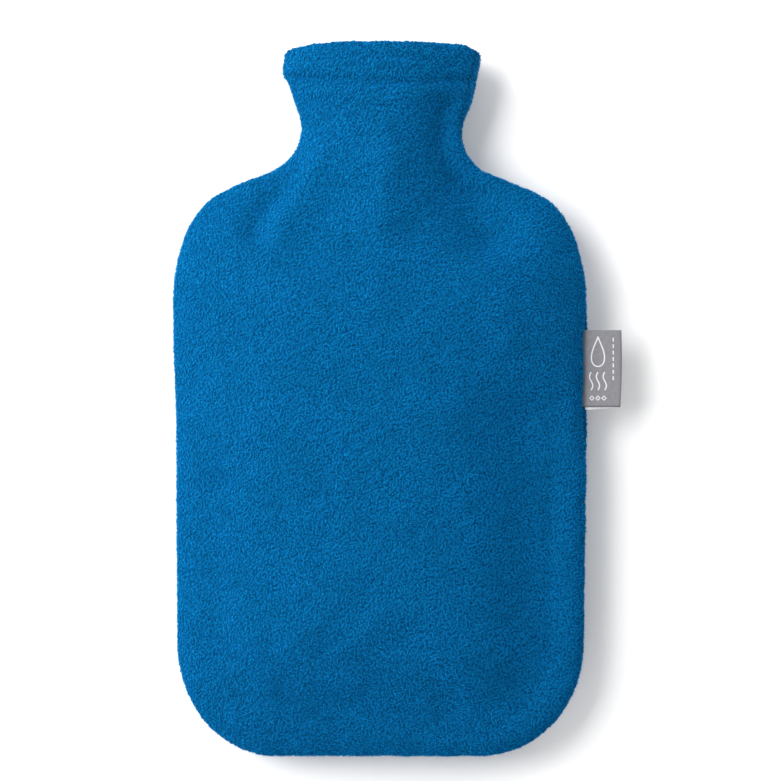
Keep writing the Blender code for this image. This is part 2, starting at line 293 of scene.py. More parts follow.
def distance_to(line, points):
    """The distance of each point to a line of joined points."""
    start = line[:-1]
    run = line[1:] - start
    length = (run**2).sum(axis=1)
    found = []
    for row in points:
        offset = row[:, None] - start
        share = np.clip((offset * run).sum(axis=2) / length, 0, 1)
        found.append(np.linalg.norm(offset - share[..., None] * run, axis=2).min(axis=1))
    return np.array(found)


def swell(distance, reach, squareness):
    """Rises from 0 at the seam to 1 at the reach, like a quarter of a rounded square."""
    short = 1 - np.clip(distance / reach, 0, 1)
    return (1 - short**squareness) ** (1 / squareness)


def skin(rows, angle, inset):
    """Points on the cover's surface, inset into its cloth, and their distance in from the outline. In
    each row the angle goes round the cover from the right side (0) over the front (to 180 degrees) or
    under the back (to -180 degrees)."""
    across = np.cos(angle)
    points = plan(rows, across, inset)
    distance = np.maximum(distance_to(outline(), points) - inset[:, None], 0)
    edge = np.isclose(np.abs(across), 1)
    edge[-1] = True
    distance[edge] = 0
    sized = {name: values[:, None] for name, values in rows.items()}
    deep = inset[:, None]
    over = swell(distance, sized["front_reach"], FRONT_SQUARENESS) * (sized["front"] - deep)
    under = swell(distance, sized["back_reach"], BACK_SQUARENESS) * (deep - sized["back"])
    height = sized["seam"] + np.where(angle >= 0, over, under)
    return np.concatenate((points, height[..., None]), axis=2), distance


def even_columns(panel, grid):
    """How far round the panel each column lies, as a share, so that columns are evenly spaced over the
    cloth of the body."""
    flank = SECTIONS[-2]
    half = (flank.left + flank.right) / 2
    turn = np.linspace(0, pi, ARC_POINTS)
    across = half * np.cos(turn)
    if panel == "front_panel":
        rise = flank.front * swell(half - np.abs(across), flank.front_reach, FRONT_SQUARENESS)
    else:
        rise = flank.back * swell(half - np.abs(across), flank.back_reach, BACK_SQUARENESS)
    length = np.concatenate(([0], np.cumsum(np.hypot(np.diff(across), np.diff(rise)))))
    return np.interp(np.linspace(0, length[-1], grid.columns + 1), length, turn) / pi


def unit(vectors):
    return vectors / np.maximum(np.linalg.norm(vectors, axis=-1, keepdims=True), NEARLY_ZERO)


def cell_crosses(points):
    """The cross product of each grid cell's diagonals. It is as long as twice the cell's area."""
    return np.cross(points[1:, 1:] - points[:-1, :-1], points[1:, :-1] - points[:-1, 1:])


def outwards(points, panel):
    """The direction out of the cloth at each grid point, from the cells round it."""
    cells = cell_crosses(points) if panel == "front_panel" else -cell_crosses(points)
    padded = np.pad(cells, ((1, 1), (1, 1), (0, 0)), mode="edge")
    total = padded[1:, 1:] + padded[:-1, 1:] + padded[1:, :-1] + padded[:-1, :-1]
    return unit(total)


def run_from_seam(points):
    """The distance over the cloth from each grid point to the right seam, the left one and the bottom."""
    steps = np.linalg.norm(np.diff(points, axis=1), axis=2)
    from_right = np.pad(np.cumsum(steps, axis=1), ((0, 0), (1, 0)))
    from_left = np.pad(np.cumsum(steps[:, ::-1], axis=1), ((0, 0), (1, 0)))[:, ::-1]
    down = np.linalg.norm(np.diff(points, axis=0), axis=2)
    from_bottom = np.pad(np.cumsum(down[::-1], axis=0), ((1, 0), (0, 0)))[::-1]
    return from_right, from_left, from_bottom


def ripples(points, wavelength, seed, waves=7):
    """A soft uneven height field between about -1 and 1, from waves that cross at random."""
    rng = np.random.default_rng(seed)
    total = np.zeros(points.shape[:-1])
    for _ in range(waves):
        direction = unit(rng.normal(size=3))
        length = wavelength * rng.uniform(*WAVELENGTH_SPREAD)
        total += np.sin(points @ direction * (2 * pi / length) + rng.uniform(0, 2 * pi))
    return total / np.sqrt(waves / 2) / 2


def folds_over(points, distance, folds):
    """How far the folds lift the cloth at each point."""
    height = np.zeros(points.shape[:-1])
    for fold in folds:
        away = distance_to(np.array(fold.line, float), points[..., :2])
        height += fold.depth * np.exp(-((away / fold.width) ** 2)) * smooth_step(distance, 0, fold.fade)
    return height


def drawn_in(panel, rows, points, tuck):
    """How far the seams draw the cloth in at each point."""
    from_right, from_left, from_bottom = run_from_seam(points)
    nearest = np.minimum(np.minimum(from_right, from_left), from_bottom)
    depth = tuck * np.clip(1 - nearest / SEAM_REACH, 0, 1) ** 2
    up = rows["up"][:, None]
    for place in TUCKS:
        if place.panel == panel:
            away = from_right if place.side == "right" else from_left
            along = smooth_step(up, place.bottom, place.bottom + place.fade)
            along = along * (1 - smooth_step(up, place.top - place.fade, place.top))
            depth = depth + place.depth * along * np.clip(1 - away / place.reach, 0, 1) ** 2
    return depth


def pull_back(points, gap):
    """Draws a panel's seam edges back along its surface, so that the two panels don't touch."""
    moved = points.copy()
    for edge, inner in (
        (np.s_[:, 0], points[:, 1] - points[:, 0]),
        (np.s_[:, -1], points[:, -2] - points[:, -1]),
        (np.s_[-1], points[-2] - points[-1]),
    ):
        moved[edge] += gap * unit(inner)
    return moved


def to_frame(points, sizes):
    """Pattern millimetres to metres in the frame, fitted to the cover's sizes."""
    width, length, depth = sizes
    fitted = points * MM
    fitted[..., 0] *= width / (PATTERN_WIDTH * MM)
    fitted[..., 1] *= length / ((PATTERN_TOP - BOTTOM) * MM)
    fitted[..., 2] *= depth / (PATTERN_DEPTH * MM)
    return fitted


@lru_cache(maxsize=4)
def panel_grids(panel, sizes, cloth, tuck, unevenness):
    """The outer and the inner face of a panel, as grids of points in the frame."""
    grid = GRIDS[panel]
    rows = with_rim(side_rows(grid.side_rows, grid.corner_rows), grid.rim_rows)
    far_side = pi if panel == "front_panel" else -pi
    roll = np.radians(rows["roll"])[:, None]
    angle = roll + even_columns(panel, grid) * (far_side - roll)
    thickness = rows["cloth"] * cloth / SECTIONS[-1].cloth / MM
    over_rim = rows["rim"] * thickness / 2
    outer, distance = skin(rows, angle, over_rim)
    inner = skin(rows, angle, thickness - over_rim)[0]
    out = outwards(outer, panel)
    folds = FRONT_FOLDS if panel == "front_panel" else BACK_FOLDS
    lift = folds_over(outer, distance, folds)
    for ripple in RIPPLES:
        lift += unevenness / MM * ripple.strength * ripples(outer, ripple.wavelength, ripple.seed)
    lift -= drawn_in(panel, rows, outer, tuck / MM) + PILE_ROOM
    if panel == "back_panel":
        lift = np.where(outer[..., 2] < FLAT_BACK, np.minimum(lift, 0), lift)
    moved = [pull_back(face + lift[..., None] * out, SEAM_GAP / 2) for face in (outer, inner)]
    return tuple(to_frame(face, sizes) for face in moved)


# ------------------------------------------------------------------------------------ making meshes

UV_MAP = "OFBake"
# The pile's finish paints shade by this attribute: each curl is darker towards its root.
CROWN = "crown"  # the pile's attribute: how near the top of its curl a point is
OUTER_SHARE = 0.62  # how much of the map's width the outer face takes
MAP_GAP = 0.01


def sheet_faces(rows, columns, flip):
    """Quads of a closed sheet: its outer grid, its inner grid and the strip round its edge, with each
    corner's place on the map."""
    count = rows * columns
    index = np.arange(count).reshape(rows, columns)
    quads = np.stack((index[:-1, :-1], index[:-1, 1:], index[1:, 1:], index[1:, :-1]), axis=-1)
    quads = quads.reshape(-1, 4)
    edge = np.concatenate((index[0, :-1], index[:-1, -1], index[-1, :0:-1], index[:0:-1, 0]))
    beyond = np.roll(edge, -1)
    strip = np.stack((beyond, edge, edge + count, beyond + count), axis=1)
    faces = np.concatenate((quads, quads[:, ::-1] + count, strip))
    down, over = np.divmod(index, columns)
    share = np.stack((over / (columns - 1), 1 - down / (rows - 1)), axis=-1).reshape(-1, 2)
    outer_map = share * (OUTER_SHARE, 1)
    inner_map = share * (1 - OUTER_SHARE - 3 * MAP_GAP, 1) + (OUTER_SHARE + 3 * MAP_GAP, 0)
    along = np.arange(len(edge)) / len(edge)
    after = along + 1 / len(edge)
    near, far = OUTER_SHARE + MAP_GAP, OUTER_SHARE + 2 * MAP_GAP
    strip_map = np.stack(
        [
            np.stack((np.full(len(edge), u), v), axis=1)
            for u, v in ((near, after), (near, along), (far, along), (far, after))
        ],
        axis=1,
    )
    places = np.concatenate((outer_map[quads], inner_map[quads[:, ::-1]], strip_map))
    if flip:
        return faces[:, ::-1], places[:, ::-1]
    return faces, places


def new_piece(name, points, faces, places, materials, smooth=True):
    """A mesh piece with its map. Points and faces are arrays."""
    mesh = bpy.data.meshes.new(name)
    mesh.from_pydata(points.reshape(-1, 3), [], faces)
    if places is not None:
        layer = mesh.uv_layers.new(name=UV_MAP)
        layer.data.foreach_set("uv", np.asarray(places, np.float32).ravel())
    for finish in materials:
        mesh.materials.append(finish)
    if smooth:
        mesh.shade_smooth()
    mesh.update()
    piece = bpy.data.objects.new(name, mesh)
    bpy.context.scene.collection.objects.link(piece)
    return piece


def sheet_piece(name, outer, inner, materials, flip=False):
    faces, places = sheet_faces(*outer.shape[:2], flip)
    points = np.concatenate((outer.reshape(-1, 3), inner.reshape(-1, 3)))
    return new_piece(name, points, faces, places, materials)


# ---------------------------------------------------------------------------------------- materials


class Nodes:
    """Short calls for building a node tree round its Principled shader."""

    def __init__(self, name):
        self.material = bpy.data.materials.new(name)
        self.material.use_nodes = True
        self.tree = self.material.node_tree
        self.shader = self.tree.nodes["Principled BSDF"]
        self.coordinates = self.tree.nodes.new("ShaderNodeTexCoord").outputs["Object"]

    def add(self, kind, inputs=None, **settings):
        node = self.tree.nodes.new(kind)
        for name, value in settings.items():
            setattr(node, name, value)
        for key, value in (inputs or {}).items():
            self.put(node.inputs[key], value)
        return node

    def put(self, socket, value):
        if isinstance(value, bpy.types.NodeSocket):
            self.tree.links.new(value, socket)
        else:
            socket.default_value = value

    def noise(self, size, detail=2.0, rough=0.5, twist=0.0, at=None):
        """Noise between 0 and 1 whose features are about size metres across."""
        inputs = {
            "Vector": at or self.coordinates,
            "Scale": 1 / size,
            "Detail": detail,
            "Roughness": rough,
            "Distortion": twist,
        }
        return self.add("ShaderNodeTexNoise", inputs).outputs["Fac"]

    def maths(self, operation, first, second=0.0, third=0.0, clamp=False):
        inputs = {0: first, 1: second, 2: third}
        return self.add("ShaderNodeMath", inputs, operation=operation, use_clamp=clamp).outputs[0]

    def spread(self, value, low, high, to_low=0.0, to_high=1.0):
        """Maps low..high to to_low..to_high, softly and clamped."""
        inputs = {
            "Value": value,
            "From Min": low,
            "From Max": high,
            "To Min": to_low,
            "To Max": to_high,
        }
        node = self.add("ShaderNodeMapRange", inputs, interpolation_type="SMOOTHSTEP")
        return node.outputs["Result"]

    def stripes(self, value, pitch):
        """Waves between -1 and 1 that repeat at each pitch, in metres."""
        return self.maths("SINE", self.maths("MULTIPLY", value, 2 * pi / pitch))

    def mix(self, share, first, second):
        node = self.add("ShaderNodeMix", data_type="RGBA")
        self.put(node.inputs["Factor"], share)
        self.put(node.inputs["A"], first)
        self.put(node.inputs["B"], second)
        return node.outputs["Result"]

    def bump(self, height, distance, strength=1.0, under=None):
        inputs = {"Height": height, "Distance": distance, "Strength": strength}
        if under is not None:
            inputs["Normal"] = under
        return self.add("ShaderNodeBump", inputs).outputs["Normal"]

    def finish(self, **inputs):
        for name, value in inputs.items():
            self.put(self.shader.inputs[name.replace("_", " ")], value)
        return self.material


def shade(colour, factor):
    """A colour made darker or lighter, as a socket value."""
    return (*(channel * factor for channel in colour), 1)


def squiggle(nodes, size, twist):
    """1 along thin wandering lines and 0 between them, like the ridges of a felted pile."""
    wander = nodes.noise(size, detail=1.5, rough=0.45, twist=twist)
    away = nodes.maths("ABSOLUTE", nodes.maths("SUBTRACT", wander, 0.5))
    return nodes.spread(away, 0.0, 0.16, 1.0, 0.0)


def fleece_cloth(name, colours):
    """The knit between the pile's curls, with the roots of the pile as wandering ridges. Its colour is
    painted shade: far darker than the fleece, as down between the curls, and darkest where its bumps lie
    lowest.
    """
    nodes = Nodes(name)
    ridges = squiggle(nodes, 0.0024, 1.2)
    lumps = nodes.noise(0.0016, detail=2.0, rough=0.6, twist=0.4)
    height = nodes.maths("MULTIPLY_ADD", ridges, 0.5, lumps)
    share = nodes.spread(height, 0.25, 1.15)
    # Painted shade: the knit is coloured much darker than the fleece, and darker still where its bumps lie
    # low.
    return nodes.finish(
        Base_Color=nodes.mix(share, shade(colours.fleece, 0.42), shade(colours.fleece, 0.80)),
        Roughness=1.0,
        Specular_IOR_Level=0.0,
        Sheen_Weight=0.3,
        Sheen_Roughness=0.5,
        Sheen_Tint=(*colours.sheen, 1),
        Normal=nodes.bump(height, 0.0006, 0.8),
    )


def fleece_pile(name, colours):
    """The curls' finish: painted shade and light, each curl darker at its root and paler at its crown,
    with fine fibres and soft patches.
    """
    nodes = Nodes(name)
    # Painted shade: the crown attribute makes each curl darker towards its root and paler at its top.
    crown = nodes.add("ShaderNodeAttribute", attribute_name=CROWN).outputs["Fac"]
    fibres = nodes.noise(0.0005, detail=2.0, rough=0.6)
    patches = nodes.noise(0.016, detail=2.0)
    tone = nodes.maths("MULTIPLY_ADD", nodes.maths("SUBTRACT", fibres, 0.5), 1.0, crown)
    tone = nodes.maths("MULTIPLY_ADD", nodes.maths("SUBTRACT", patches, 0.5), 0.5, tone)
    share = nodes.spread(tone, 0.0, 1.0)
    return nodes.finish(
        Base_Color=nodes.mix(share, shade(colours.fleece, 0.38), shade(colours.fleece, 1.45)),
        Roughness=1.0,
        Specular_IOR_Level=0.0,
        Sheen_Weight=1.0,
        Sheen_Roughness=0.4,
        Sheen_Tint=(*colours.sheen, 1),
        Normal=nodes.bump(fibres, 0.00015, 0.6),
    )


def fleece_fibre(name, colours):
    """Fine single fibres, coloured paler than the matted pile as painted light: the light that shines
    through the fuzz along the edges.
    """
    nodes = Nodes(name)
    return nodes.finish(
        Base_Color=shade(colours.fibre, 1.0),
        Roughness=0.8,
        Specular_IOR_Level=0.2,
        Sheen_Weight=0.6,
        Sheen_Tint=(*colours.sheen, 1),
    )


THREAD_PITCH = 0.42 * MM  # of the threads across the ribbon
WARP_PITCH = 0.55 * MM


def ribbon_weave(name, colour, lowest):
    """Satin ribbon: fine cross threads, a slight stripe of the warp, a darker edge along its
    lowest place in Y, and painted shade where it leaves the seam and where it turns round its fold."""
    nodes = Nodes(name)
    split = nodes.add("ShaderNodeSeparateXYZ", {"Vector": nodes.coordinates}).outputs
    threads = nodes.stripes(split["Y"], THREAD_PITCH)
    warp = nodes.stripes(split["X"], WARP_PITCH)
    weave = nodes.maths("MULTIPLY_ADD", warp, 0.35, threads)
    uneven = nodes.noise(0.0016, detail=3.0, rough=0.7)
    # Darker along the ribbon's lowest edge in Y.
    lowest_edge_dark = nodes.spread(split["Y"], lowest + 0.3 * MM, lowest + 0.8 * MM, 1.0, 0.0)
    # Painted shade: the ribbon darkens where it goes into the seam and where it turns round its fold.
    root = nodes.spread(split["X"], (LABEL_SIDE + 0.2) * MM, (LABEL_SIDE + 2.6) * MM, 1.0, 0.0)
    fold = nodes.spread(split["X"], (LABEL_TIP - 1.4) * MM, (LABEL_TIP - 0.5) * MM, 0.0, 0.35)
    seam_and_fold_shade = nodes.maths("MAXIMUM", root, fold)
    tone = nodes.maths("MULTIPLY_ADD", weave, 0.09, uneven)
    body = nodes.mix(nodes.spread(tone, 0.2, 0.8), shade(colour, 0.86), shade(colour, 1.12))
    return nodes.finish(
        Base_Color=nodes.mix(nodes.maths("MAXIMUM", lowest_edge_dark, seam_and_fold_shade), body, shade(colour, 0.45)),
        Roughness=nodes.spread(uneven, 0.3, 0.7, 0.42, 0.58),
        Specular_IOR_Level=0.4,
        Sheen_Weight=0.15,
        Anisotropic=0.35,
        Normal=nodes.bump(weave, 0.00006, 0.6),
    )


def woven_mark(name, colour):
    """White thread, brocaded into the ribbon."""
    nodes = Nodes(name)
    split = nodes.add("ShaderNodeSeparateXYZ", {"Vector": nodes.coordinates}).outputs
    threads = nodes.stripes(split["Y"], THREAD_PITCH)
    share = nodes.spread(threads, -1.0, 0.4)
    return nodes.finish(
        Base_Color=nodes.mix(share, shade(colour, 0.72), shade(colour, 1.0)),
        Roughness=0.55,
        Specular_IOR_Level=0.4,
        Normal=nodes.bump(threads, 0.00005, 0.5),
    )


# ------------------------------------------------------------------------------------------ the pile

# The pile is matted into curls. Each lot covers one face of a panel: its outer face, or its hem where
# it is turned in at the mouth. The lot is shared out over its named pieces.
PileLot = namedtuple("PileLot", "panel face names curls underside_share")
PILE_LOTS = (
    PileLot(
        "front_panel", "outer", ("front_pile_top", "front_pile_middle", "front_pile_bottom"), 63000, 1.0
    ),
    PileLot("back_panel", "outer", ("back_pile",), 20500, 0.3),
    PileLot("front_panel", "hem", ("front_hem_pile",), 2200, 1.0),
    PileLot("back_panel", "hem", ("back_hem_pile",), 2200, 1.0),
)
FLAT_UNDERSIDE = 2.5 * MM  # below this the back lies on the surface, and its pile is pressed flat
PLASTIC_NUMBERS = (0.7548776662, 0.5698402910)  # steps that spread places evenly over a square
CURL_SWIRL = 5.0 * MM  # the curls change their direction over about this distance
CURL_SWIRL_SEED = 11
CURL_TURN_SPREAD = 1.6  # how far single curls turn from that direction, in radians
CURL_LENGTH_VARIES = 0.35  # as a share of the length, and so on
CURL_WIDTH_VARIES = 0.25
CURL_HEIGHT_VARIES = 0.45
CURL_BEND = (0.2, 0.7)  # how far it bends to one side, as a share of its width
CURL_LEAN = 0.25  # how far its crown leans, as a share of its length
CURL_SIDES_RISE = 0.2  # how high its sides lie, as a share of its height
CURL_SINKS = 0.3  # how deep its root lies in the cloth, as a share of its height
CURL_ACROSS = (0.3, 1.0, 0.2)  # the curls' turns are measured from across this direction
SCATTER_JITTER = 0.42  # how far places stray, as a share of the distance between them
JUST_BELOW_ONE = 0.999999  # keeps a place inside its own row of cells


def cell_areas(outer):
    return np.linalg.norm(cell_crosses(outer), axis=2) / 2


def scatter(outer, inner, count, underside_share, rng):
    """Places spread evenly over a sheet's outer face, in order from its top row down, with the
    direction out of the cloth at each. The flat underside gets its own share."""
    areas = cell_areas(outer)
    areas[outer[1:, 1:, 2] < FLAT_UNDERSIDE] *= underside_share
    rows, columns = areas.shape
    steps = np.arange(1, count + 1)[:, None] * PLASTIC_NUMBERS
    spots = (steps + rng.normal(0, SCATTER_JITTER / np.sqrt(count), (count, 2))) % 1
    down = np.concatenate(([0], np.cumsum(areas.sum(axis=1))))
    place_down = np.interp(spots[:, 0], down / down[-1], np.arange(rows + 1))
    r = np.minimum(place_down.astype(int), rows - 1)
    along = np.cumsum(areas, axis=1)
    along = np.pad(along / along[:, -1:], ((0, 0), (1, 0)))
    stacked = (along + np.arange(rows)[:, None]).ravel()
    cell = np.searchsorted(stacked, r + spots[:, 1] * JUST_BELOW_ONE, side="right") - 1
    c = np.clip(cell - r * (columns + 1), 0, columns - 1)
    start, end = along[r, c], along[r, c + 1]
    f = ((spots[:, 1] - start) / np.maximum(end - start, NEARLY_ZERO)).clip(0, 1)[:, None]
    g = (place_down - r)[:, None]

    def between(face):
        upper = (1 - f) * face[r, c] + f * face[r, c + 1]
        lower = (1 - f) * face[r + 1, c] + f * face[r + 1, c + 1]
        return (1 - g) * upper + g * lower

    places = between(outer)
    normals = unit(cell_crosses(outer))[r, c]
    facing = ((places - between(inner)) * normals).sum(axis=1, keepdims=True)
    normals = np.where(facing > 0, normals, -normals)
    order = np.argsort(spots[:, 0])
    return places[order], normals[order]


# The pile's finish paints shade by these values, darker lower down each curl.
CURL_CROWN = (0.1, 0.32, 0.1, 0.32, 1.0, 0.0)  # how near its top each of a curl's corners is
CURL_TOP_FACES = ((0, 1, 4), (1, 2, 4), (2, 3, 4), (3, 0, 4))
CURL_ROOT_FACES = ((1, 0, 5), (2, 1, 5), (3, 2, 5), (0, 3, 5))


def curls(places, outward, sizes, lowest, rng):
    """A small bent lump for each place: its head, one side, its tail, the other side, its crown and
    its root."""
    count = len(places)
    swirl = 2 * pi * ripples(places, CURL_SWIRL, CURL_SWIRL_SEED)
    turn = (swirl + rng.normal(0, CURL_TURN_SPREAD, count))[:, None]
    aside = unit(np.cross(outward, unit(np.array(CURL_ACROSS))))
    ahead = np.cross(outward, aside)
    along = np.cos(turn) * aside + np.sin(turn) * ahead
    side = np.cross(outward, along)
    long, wide, high = (
        size * rng.uniform(1 - vary, 1 + vary, (count, 1))
        for size, vary in (
            (sizes.length / 2, CURL_LENGTH_VARIES),
            (sizes.width / 2, CURL_WIDTH_VARIES),
            (sizes.height, CURL_HEIGHT_VARIES),
        )
    )
    bend = rng.choice((-1, 1), (count, 1)) * rng.uniform(*CURL_BEND, (count, 1)) * wide * side
    lean = rng.normal(0, CURL_LEAN, (count, 1)) * long * along
    sides_up = CURL_SIDES_RISE * high * outward
    points = np.stack(
        (
            places + long * along - bend,
            places + wide * side + bend + sides_up,
            places - long * along - bend,
            places - wide * side + bend + sides_up,
            places + high * outward + bend / 2 + lean,
            places - CURL_SINKS * high * outward,
        ),
        axis=1,
    )
    points[..., 2] = np.maximum(points[..., 2], lowest)
    corners = 6 * np.arange(count)[:, None, None]
    faces = corners + np.array(CURL_TOP_FACES + CURL_ROOT_FACES)
    return points.reshape(-1, 3), faces.reshape(-1, 3)


def square_map(count, square):
    """Gives each of many like shapes its own square of the map, laid out as the given square is."""
    side = int(np.ceil(np.sqrt(count)))
    down, over = np.divmod(np.arange(count), side)
    corner = np.stack((over, down), axis=1)[:, None, None]
    return (corner + square) / side


def curl_square():
    """A curl's faces on its square of the map: its top as seen from above, its root in a corner."""
    plan_spots = np.array(((0.95, 0.5), (0.5, 0.95), (0.05, 0.5), (0.5, 0.05), (0.5, 0.5)))
    top = plan_spots[np.array(CURL_TOP_FACES)]
    root = np.array(((0.04, 0.04), (0.20, 0.04), (0.04, 0.20)))
    return np.concatenate((top, np.broadcast_to(root, top.shape)))


# Fine fibres stand out of the pile. They are made only where the cloth turns down to its seams and
# over its mouth, so that its edges look soft.
FuzzLot = namedtuple("FuzzLot", "name panel spots")
FUZZ_LOTS = (
    FuzzLot("front_fuzz", "front_panel", 50000),
    FuzzLot("back_fuzz", "back_panel", 45000),
)
FUZZ_STEEP = 0.65  # fibres grow where the cloth faces up or down by less than this
FIBRE_SPREAD = 0.45  # how far the fibres' directions stray
FIBRE_LENGTHS = (0.5, 1.4)  # as shares of the fibre length
FIBRE_SINKS = 0.1  # how deep its root lies in the cloth, as a share of its length
FIBRE_SQUARE = np.broadcast_to(np.array(((0.1, 0.1), (0.9, 0.1), (0.1, 0.9))), (4, 3, 2))


def fibres(places, outward, length, width, lowest, rng):
    """A thin closed spike for each place: three corners at its root and one at its tip."""
    count = len(places)
    direction = unit(outward + rng.normal(0, FIBRE_SPREAD, (count, 3)))
    side = unit(np.cross(direction, unit(rng.normal(size=(count, 3)))))
    other = np.cross(direction, side)
    reach = length * rng.uniform(*FIBRE_LENGTHS, (count, 1))
    root = places - FIBRE_SINKS * reach * direction
    corners = [
        root + width / 2 * (np.cos(turn) * side + np.sin(turn) * other)
        for turn in np.radians((90, 210, 330))
    ]
    points = np.stack((*corners, places + reach * direction), axis=1)
    points[..., 2] = np.maximum(points[..., 2], lowest)
    faces = 4 * np.arange(count)[:, None, None] + np.array(((0, 2, 1), (0, 1, 3), (1, 2, 3), (2, 0, 3)))
    return points.reshape(-1, 3), faces.reshape(-1, 3)


# ----------------------------------------------------------------------------------------- the label

LABEL_ROOT = 97.6  # where its two ends stop, inside the seam
LABEL_TIP = 120.7
LABEL_TIP_BOW = 0.5  # how far the fold's ends fall back from its middle
LABEL_TIP_SKEW = 0.5  # how much further the lower end falls back than the upper
LABEL_ROOT_HALF = 0.45  # from the label's middle plane to the middle of each layer, at the seam
LABEL_FOLD_RADIUS = 1.0
LABEL_LENGTHWAYS = 26
LABEL_FOLD_POINTS = 13
LABEL_ROWS = 48
LABEL_SLIP = 1.9  # how far the lower layer's end lies below the upper one's, at the seam
LABEL_SIDE = 101.0  # where the ribbon comes out of the seam
LABEL_WAVE = 0.16  # how far the ribbon waves up and down
LABEL_WAVE_STARTS = 100
LABEL_WAVE_FULL = 112
LABEL_WAVE_UP = 3.1  # how fast the wave turns up the label, in radians from its middle to its end
LABEL_WAVE_ACROSS = 0.33  # and across it, in radians a millimetre


def ribbon_layers(tip):
    """The middle of the folded ribbon, seen from its end: out along its upper layer, round the fold
    and back along its lower one. The first value is across the cover, the second above the seam."""
    fold_centre = tip - LABEL_FOLD_RADIUS
    across = np.linspace(LABEL_ROOT, fold_centre, LABEL_LENGTHWAYS, endpoint=False)
    spread = smooth_step(across, LABEL_SIDE, fold_centre)
    apart = LABEL_ROOT_HALF + (LABEL_FOLD_RADIUS - LABEL_ROOT_HALF) * spread
    turn = np.radians(np.linspace(90, -90, LABEL_FOLD_POINTS))
    fold = np.stack((np.cos(turn), np.sin(turn)), axis=1) * LABEL_FOLD_RADIUS + (fold_centre, 0)
    upper = np.stack((across, apart), axis=1)
    lower = upper[::-1] * (1, -1)
    return np.concatenate((upper, fold, lower))


def label_grids(cloth):
    """The ribbon's outer and inner face as grids of points, in the frame."""
    low, high = LABEL_BOX
    seam = (low.z + high.z) / 2 / MM
    top, bottom = high.y / MM, low.y / MM
    grids = ([], [])
    for place in np.linspace(1, -1, LABEL_ROWS + 1):
        up = bottom + (top - bottom) * (1 + place) / 2
        tip = LABEL_TIP - LABEL_TIP_BOW * place**2 - LABEL_TIP_SKEW * (1 - place) / 2
        middle = ribbon_layers(tip)
        along = np.gradient(middle, axis=0)
        outward = unit(np.stack((-along[:, 1], along[:, 0]), axis=1))
        back_along = np.linspace(-1, 1, len(middle))
        slip = LABEL_SLIP * np.clip(back_along, 0, 1)
        wave = LABEL_WAVE * np.sin(place * LABEL_WAVE_UP + middle[:, 0] * LABEL_WAVE_ACROSS)
        wave = wave * smooth_step(middle[:, 0], LABEL_WAVE_STARTS, LABEL_WAVE_FULL)
        for grid, side in zip(grids, (1, -1)):
            layer = middle + side * outward * cloth / MM / 2
            height = layer[:, 1] + seam + wave
            grid.append(np.stack((layer[:, 0], up - slip, height), axis=1))
    return np.array(grids[0]) * MM, np.array(grids[1]) * MM


# The woven marks on the label, in millimetres from the label's lower inner corner: across it, and up
# it. They say nothing: a drop over three waves of warmth, a broken line and a row of lozenges.
DROP_CENTRE = (7.6, 27.6)
DROP_SIZE = (4.6, 7.4)
DROP_POINTEDNESS = 1.4
DROP_POINTS = 40
WAVES_ACROSS = (4.2, 7.6, 11.0)
WAVES_UP = (8.4, 17.4)
WAVE_SWING = 0.8
WAVE_POINTS = 25
DASH_ACROSS = 15.2
DASHES_UP = 34.5 - 3.2 * np.arange(7)
DASH_LENGTH = 1.9
LOZENGES_ACROSS = (4.6, 7.6, 10.6)
LOZENGE_UP = 4.4
LOZENGE_HALF = 1.05
MARK_LINE = 0.62
MARK_STANDS = 0.07


def drop_outline():
    turn = np.linspace(0, 2 * pi, DROP_POINTS, endpoint=False)
    across = DROP_SIZE[0] * np.sin(turn) * np.sin(turn / 2) ** DROP_POINTEDNESS
    up = DROP_SIZE[1] * np.cos(turn)
    return np.stack((across, up), axis=1) + DROP_CENTRE


def wave_line(across):
    low, high = WAVES_UP
    up = np.linspace(low, high, WAVE_POINTS)
    swing = WAVE_SWING * np.sin((up - low) / (high - low) * 2 * pi)
    return np.stack((across + swing, up), axis=1)


def mark_lines():
    """Every line of the marks: its points and whether it closes on itself."""
    lines = [(drop_outline(), True)]
    lines += [(wave_line(across), False) for across in WAVES_ACROSS]
    for up in DASHES_UP:
        lines.append((np.array(((DASH_ACROSS, up), (DASH_ACROSS, up - DASH_LENGTH))), False))
    for across in LOZENGES_ACROSS:
        tips = np.array(((0, 1), (1, 0), (0, -1), (-1, 0))) * LOZENGE_HALF
        lines.append((tips + (across, LOZENGE_UP), True))
    return lines


def raised_line(line, closed, surface):
    """A flat thread along a line: two corners below the ribbon's face and two above it at each point."""
    if closed:
        ahead = np.roll(line, -1, axis=0) - np.roll(line, 1, axis=0)
    else:
        ahead = np.gradient(line, axis=0)
    ahead = unit(ahead)
    aside = np.stack((-ahead[:, 1], ahead[:, 0]), axis=1) * MARK_LINE / 2
    left, right = line + aside, line - aside
    points = np.stack(
        (
            surface(left, -MARK_STANDS),
            surface(left, MARK_STANDS),
            surface(right, MARK_STANDS),
            surface(right, -MARK_STANDS),
        ),
        axis=1,
    )
    count = len(line)
    here = np.arange(count if closed else count - 1)
    there = (here + 1) % count
    ring = np.arange(4)
    after = (ring + 1) % 4
    faces = [
        (4 * a + i, 4 * b + i, 4 * b + j, 4 * a + j)
        for a, b in zip(here, there)
        for i, j in zip(ring, after)
    ]
    if not closed:
        faces.append((0, 1, 2, 3))
        last = 4 * (count - 1)
        faces.append((last + 3, last + 2, last + 1, last))
    return points.reshape(-1, 3), np.array(faces)


# ---------------------------------------------------------------------------------------- properties


